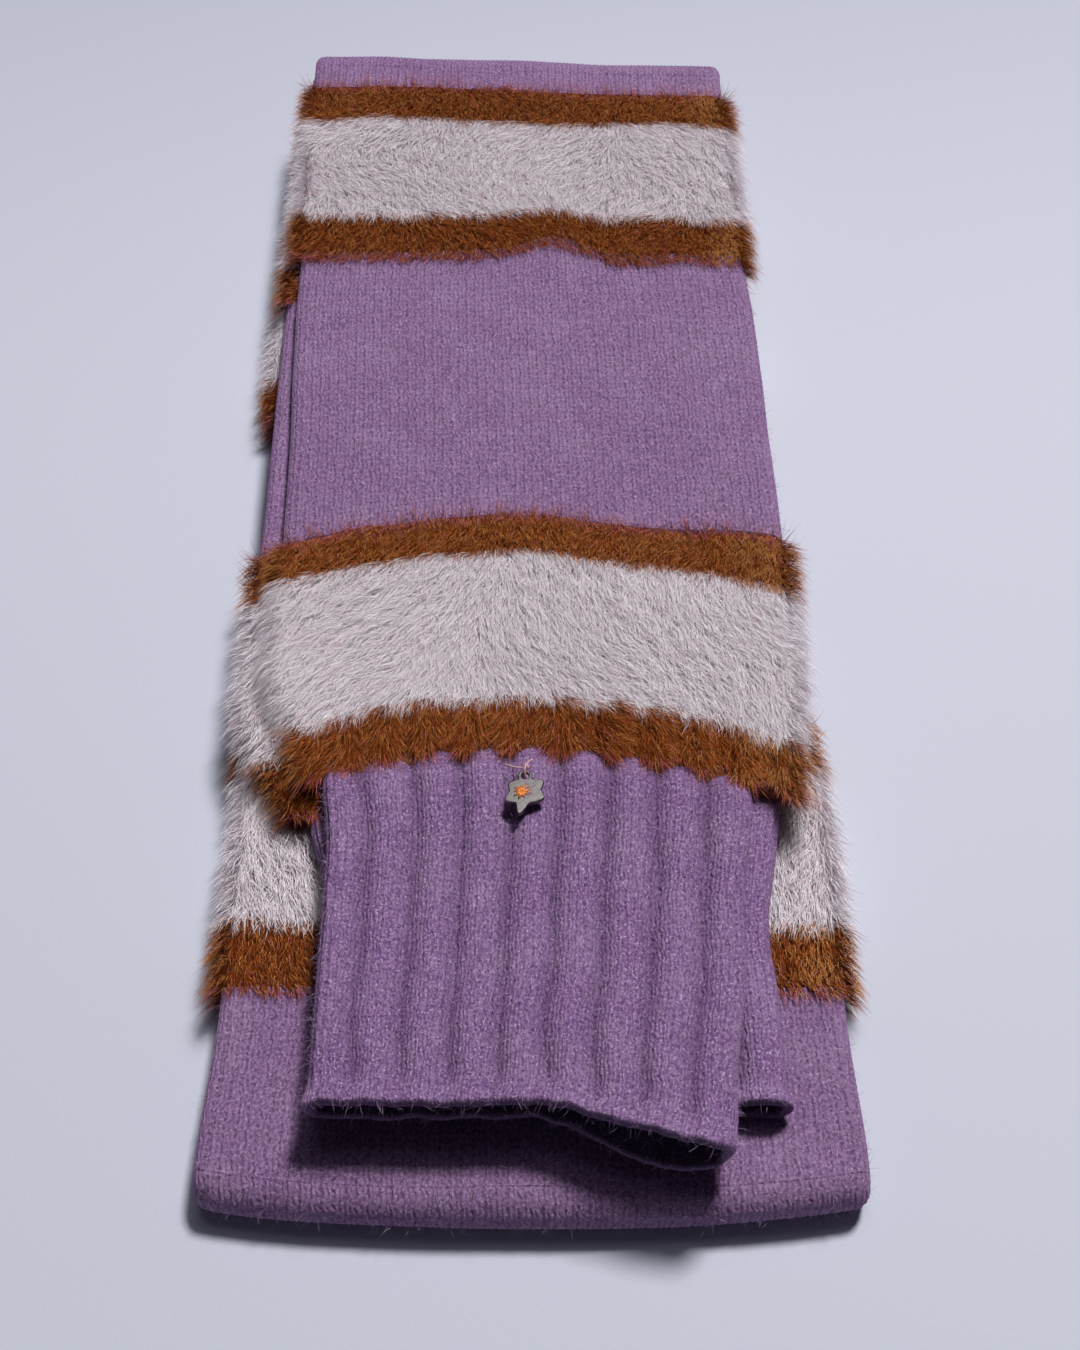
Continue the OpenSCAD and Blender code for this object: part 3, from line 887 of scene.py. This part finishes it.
def second_lip(x, up):
    return 4.0 - 1.5 * smooth(20, 64, x) + 0.6 * ripple(x, 0 * x, 11, 43)


def settle_root(points, layer, start, root):
    """Brings the root of a cuff to the height of the layer that it grows out of, a little thinner."""
    y, z = points[..., 1], points[..., 2]
    near_root = smooth(start, root, y)
    middle = points[0, :, 2].mean()
    points[..., 2] = z * (1 - near_root) + (PLACE[layer][2] + (z - middle) * 0.8) * near_root
    points[..., 1] += (lie(layer, points)[..., 1] - y) * smooth(start - 30, root, y)
    return points


# Where the sides of each cuff lie at each y: both narrow a little towards the mouth.
def top_left(y):
    return -55.4 - 2.6 * smooth(-130, -104, y)


def top_right(y):
    return 57.5 + 4.6 * smooth(-150, -108, y) - 4.9 * smooth(-157, -195, y) - 3.6 * smooth(-196, -212, y)


def second_left(y):
    return -55.5 - 6.0 * smooth(-140, -114, y)


def second_right(y):
    return 66.3 + 4.8 * smooth(-146, -112, y) - 1.4 * hill(y, -150, 12)


def cuffs():
    top = Cuff("top", top_left, top_right, 2.7, top_lift, top_lip)
    top.build(FINE, COARSE, -112, -100, fibres=11000, seed=71)
    second = Cuff("second", second_left, second_right, 2.6, second_lift, second_lip)
    second.build(MEDIUM, MEDIUM, -124, -110, fibres=3000, seed=72)


# ---------------- charm

LOOP_RADIUS = 2.0
HOLE_TO_MIDDLE = 5.0        # from the plate's hole to its middle


def outline_plate(name, outlines, thick, bevel, place, material):
    """A flat plate with a rounded edge, from closed outlines; inner outlines cut holes."""
    curve = bpy.data.curves.new(name, "CURVE")
    curve.dimensions = "2D"
    curve.fill_mode = "BOTH"
    curve.extrude = (thick / 2 - bevel) * 0.001
    curve.bevel_depth = bevel * 0.001
    curve.bevel_resolution = 2
    curve.offset = -bevel * 0.001
    for outline in outlines:
        spline = curve.splines.new("POLY")
        spline.points.add(len(outline) - 1)
        for point, (x, y) in zip(spline.points, outline):
            point.co = (x * 0.001, y * 0.001, 0, 1)
        spline.use_cyclic_u = True
    holder = bpy.data.objects.new(name + "_outline", curve)
    bpy.context.scene.collection.objects.link(holder)
    bpy.context.view_layer.update()
    mesh = bpy.data.meshes.new_from_object(holder.evaluated_get(bpy.context.evaluated_depsgraph_get()))
    bpy.data.objects.remove(holder)
    mesh.materials.clear()
    mesh.materials.append(material)
    piece = bpy.data.objects.new(name, mesh)
    bpy.context.scene.collection.objects.link(piece)
    for vertex in mesh.vertices:
        vertex.co.x += place[0] * 0.001
        vertex.co.y += place[1] * 0.001
        vertex.co.z += place[2] * 0.001
    return piece


def thread(name, path, radius, material, closed=False):
    """A round thread along a path of points, with each end closed."""
    path = np.array(path, float)
    count, sides = len(path), 10
    before, after = np.roll(path, 1, 0), np.roll(path, -1, 0)
    if not closed:
        before[0], after[-1] = path[0], path[-1]
    along = unit(after - before)
    side = unit(np.cross(along, np.array([0.3, 0.2, 0.93])))
    rise = np.cross(side, along)
    turn = np.linspace(0, 2 * math.pi, sides, endpoint=False)
    twist = 1 + 0.12 * np.cos(2 * turn[None] + 1.4 * np.arange(count)[:, None])
    ring = side[:, None] * np.cos(turn)[None, :, None] + rise[:, None] * np.sin(turn)[None, :, None]
    points = path[:, None] + ring * (radius * twist)[..., None]
    if closed:
        points = np.concatenate([points, points[:1]])
    rows = len(points)
    quads, _, _ = grid_faces(rows, sides)
    if closed:
        quads = quads % (count * sides)
        return make_mesh(name, points[:-1].reshape(-1, 3), [quads], [material])
    ends = np.stack([path[0], path[-1]])
    return make_mesh(name, np.concatenate([points.reshape(-1, 3), ends]), [quads, end_fans(rows, sides)],
                     [material])


def petal(centre, angle, start, end, width, rise):
    """Points and faces of one thin ray of enamel that lies on the plate."""
    along = np.array([math.cos(angle), math.sin(angle), 0])
    side = np.array([-math.sin(angle), math.cos(angle), 0])
    centre, lift = np.array(centre, float), np.array([0, 0, rise])
    middle = (start + end * 0.8) / 2
    points = [centre + along * start, centre + along * middle + side * width / 2, centre + along * end,
              centre + along * middle - side * width / 2, centre + along * middle + lift,
              centre + along * middle - lift * 0.4]
    faces = [[0, 3, 4], [3, 2, 4], [2, 1, 4], [1, 0, 4], [3, 0, 5], [2, 3, 5], [1, 2, 5], [0, 1, 5]]
    return np.array(points), np.array(faces)


def star_outline():
    """A lobed star with an ear for the hole. Each lobe: direction, reach, and how narrow it is."""
    lobes = ((36, 6.1, 5.0), (-22, 5.6, 4.5), (-103, 7.5, 7.5), (-152, 6.1, 5.0), (149, 5.2, 4.0))
    core, ear_away, ear_radius = 3.9, 4.9, 2.0
    angle = np.linspace(0, 2 * math.pi, 144, endpoint=False)
    reach = core + 0 * angle
    for direction, tip, narrow in lobes:
        away = np.abs((angle - math.radians(direction) + math.pi) % (2 * math.pi) - math.pi)
        reach = np.maximum(reach, core + (tip - core) * np.exp(-(away * narrow / 1.9) ** 1.6))
    aside = ear_away * np.cos(angle)
    ear_reach = ear_away * np.sin(angle) + np.sqrt(np.maximum(ear_radius ** 2 - aside ** 2, 0))
    in_ear = (np.abs(aside) < ear_radius) & (np.sin(angle) > 0)
    reach = np.where(in_ear, np.maximum(reach, ear_reach), reach)
    reach = (np.roll(reach, 1) + 2 * reach + np.roll(reach, -1)) / 4
    return list(zip(reach * np.cos(angle), reach * np.sin(angle)))


def charm_plate(x0, z0, hole_y, middle_y, thick):
    turn = np.linspace(0, 2 * math.pi, 28, endpoint=False)
    hole = list(zip(1.0 * np.cos(-turn), hole_y - middle_y + 1.0 * np.sin(-turn)))
    steel = metal_material("charm_metal", (0.190, 0.172, 0.172), 0.20)
    plate = outline_plate("charm_star_plate", [star_outline(), hole], thick, 0.28, (x0, middle_y, z0), steel)
    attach(plate, "charm")
    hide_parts("charm_plate")


def charm_burst(x0, middle_y, top_z):
    """A starburst of orange rays, and two short pink ones beside it."""
    orange = enamel_material("orange_enamel", (0.95, 0.30, 0.05), (0.80, 0.17, 0.02))
    pink = enamel_material("pink_enamel", (0.62, 0.10, 0.14), (0.42, 0.05, 0.08))
    centre = (x0 - 1.0, middle_y - 0.1, top_z)
    rays = [(centre, math.radians(direction), -0.7, reach * 1.6, 1.25, 0.26, 0) for direction, reach in
            ((12, 2.0), (58, 1.9), (97, 1.6), (141, 1.9), (178, 1.5), (215, 1.9), (252, 2.0), (291, 1.7),
             (330, 1.6))]
    rays += [((x0 + 0.1, middle_y + 1.1, top_z), math.radians(14), 0.0, 3.0, 0.55, 0.18, 1),
             ((x0 + 0.5, middle_y - 0.3, top_z), math.radians(-24), 0.0, 1.9, 0.6, 0.18, 1)]
    points, faces, slots, size = [], [], [], 0
    for spot, direction, start, end, width, rise, slot in rays:
        p, f = petal(spot, direction, start, end, width, rise)
        points.append(p)
        faces.append(f + size)
        slots += [slot] * len(f)
        size += len(p)
    burst = make_mesh("charm_enamel_burst", np.concatenate(points), [np.concatenate(faces)], [orange, pink],
                      slots=slots)
    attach(burst, "charm")
    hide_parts("charm_starburst")


def charm_threads(x0, y0, z0):
    """The loop that the plate hangs on, the knot that ties it down, and the knot's two ends."""
    rose, tree, shader = start_material("rose_thread", roughness=0.5, sheen=0.4)
    spot = spots(tree)
    twist = noise(tree, spot, 1600, 2, stretch=(1, 3, 3))
    pinks = blend_colours(tree, twist, (0.55, 0.24, 0.27), (0.85, 0.52, 0.55))
    tree.links.new(pinks, shader.inputs["Base Color"])
    add_bump(tree, shader, twist, strength=0.4, distance=0.0001)
    radius = 0.26
    turn = np.linspace(0, 2 * math.pi, 36, endpoint=False)
    path = np.stack([x0 + 0.15 * np.sin(2 * turn), y0 + LOOP_RADIUS * np.cos(turn),
                     z0 + LOOP_RADIUS * np.sin(turn)], -1)
    loop = thread("charm_loop", path, radius, rose, closed=True)
    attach(loop, "loop")
    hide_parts("charm_thread_loop")
    turn = np.linspace(0, 14, 40)
    path = np.stack([x0 + 0.3 * np.cos(turn), y0 + 2.1 + 0.09 * turn,
                     z0 - 0.9 - 0.14 * turn + 0.3 * np.sin(turn)], -1)
    knot = thread("charm_knot_tie", path, radius, rose)
    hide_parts("charm_knot")
    t = np.linspace(0, 1, 16)
    path = np.stack([x0 - 0.6 - 4.9 * t, y0 + 2.2 - 0.6 * np.sin(math.pi * t) + 0.9 * t,
                     z0 - 2.0 + 0.7 * np.sin(math.pi * t * 0.8)], -1)
    left_tail = thread("charm_tail_left", path, 0.22, rose)
    path = np.stack([x0 + 1.0 + 1.6 * t ** 2 - 0.9 * np.sin(math.pi * t * 0.8), y0 + 1.8 + 2.8 * t,
                     z0 - 1.7 + 0.4 * np.sin(math.pi * t * 0.7)], -1)
    right_tail = thread("charm_tail_right", path, 0.24, rose)
    for piece in (knot, left_tail, right_tail):
        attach(piece, "upper_pair")


def charm():
    place = [joint for joint in frame["joints"] if joint["name"] == "charm_flip"][0]["pos_m"]
    x0, y0, z0 = (value * 1000 for value in place)
    low, high = box("charm_plate")
    thick, hole_y = high[2] - low[2], y0 - LOOP_RADIUS
    middle_y = hole_y - HOLE_TO_MIDDLE
    charm_plate(x0, z0, hole_y, middle_y, thick)
    charm_burst(x0, middle_y, z0 + thick / 2 - 0.02)
    charm_threads(x0, y0, z0)


# ---------------- stage

def stage():
    """A pale floor whose colour darkens towards the far side, painted shade where the light falls off."""
    bpy.ops.mesh.primitive_plane_add(size=24, location=(0, 0, -0.0004))
    floor = bpy.context.object
    floor.name = "floor"
    material, tree, shader = start_material("floor_cloth", roughness=0.7)
    spot = spots(tree)
    split = tree.nodes.new("ShaderNodeSeparateXYZ")
    tree.links.new(spot, split.inputs[0])
    # Painted shade: the floor's colour darkens towards +Y, where the light falls off.
    painted_falloff = ramp(tree, split.outputs[1], 0.0, 0.55)
    shaded_floor_colour = blend_colours(tree, painted_falloff, (0.60, 0.62, 0.74), (0.42, 0.43, 0.53))
    tree.links.new(shaded_floor_colour, shader.inputs["Base Color"])
    add_bump(tree, shader, noise(tree, spot, 700, 2), strength=0.12, distance=0.0004)
    floor.data.materials.append(material)


def area_light(name, place, size, power, colour):
    """A round light that points at the middle of the object's base."""
    light = bpy.data.lights.new(name, "AREA")
    light.shape = "DISK"
    light.size = size
    light.energy = power
    light.color = colour
    lamp = bpy.data.objects.new(name, light)
    bpy.context.scene.collection.objects.link(lamp)
    lamp.location = place
    direction = -lamp.location.normalized()
    lamp.rotation_euler = direction.to_track_quat("-Z", "Y").to_euler()


def lights():
    area_light("key", (0.84, 1.28, 3.04), 0.68, 113, (1.0, 0.985, 0.965))
    area_light("overhead", (0.0, 0.6, 2.4), 1.2, 5, (0.93, 0.95, 1.0))
    world = bpy.data.worlds.new("studio")
    world.use_nodes = True
    world.node_tree.nodes["Background"].inputs[0].default_value = (0.86, 0.90, 1.0, 1)
    world.node_tree.nodes["Background"].inputs[1].default_value = 0.035
    bpy.context.scene.world = world
    bpy.context.scene.view_settings.view_transform = "Standard"


def camera():
    data = bpy.data.cameras.new("camera")
    data.lens = 50
    data.sensor_width = 36
    view = bpy.data.objects.new("camera", data)
    bpy.context.scene.collection.objects.link(view)
    view.location = (0.003, -0.3831, 0.4641)
    below_horizon = 54.3
    view.rotation_euler = (math.radians(90 - below_horizon), 0, 0)
    bpy.context.scene.camera = view


camera()
lights()
stage()
lilac_stretches()
fur_bands()
cuffs()
charm()
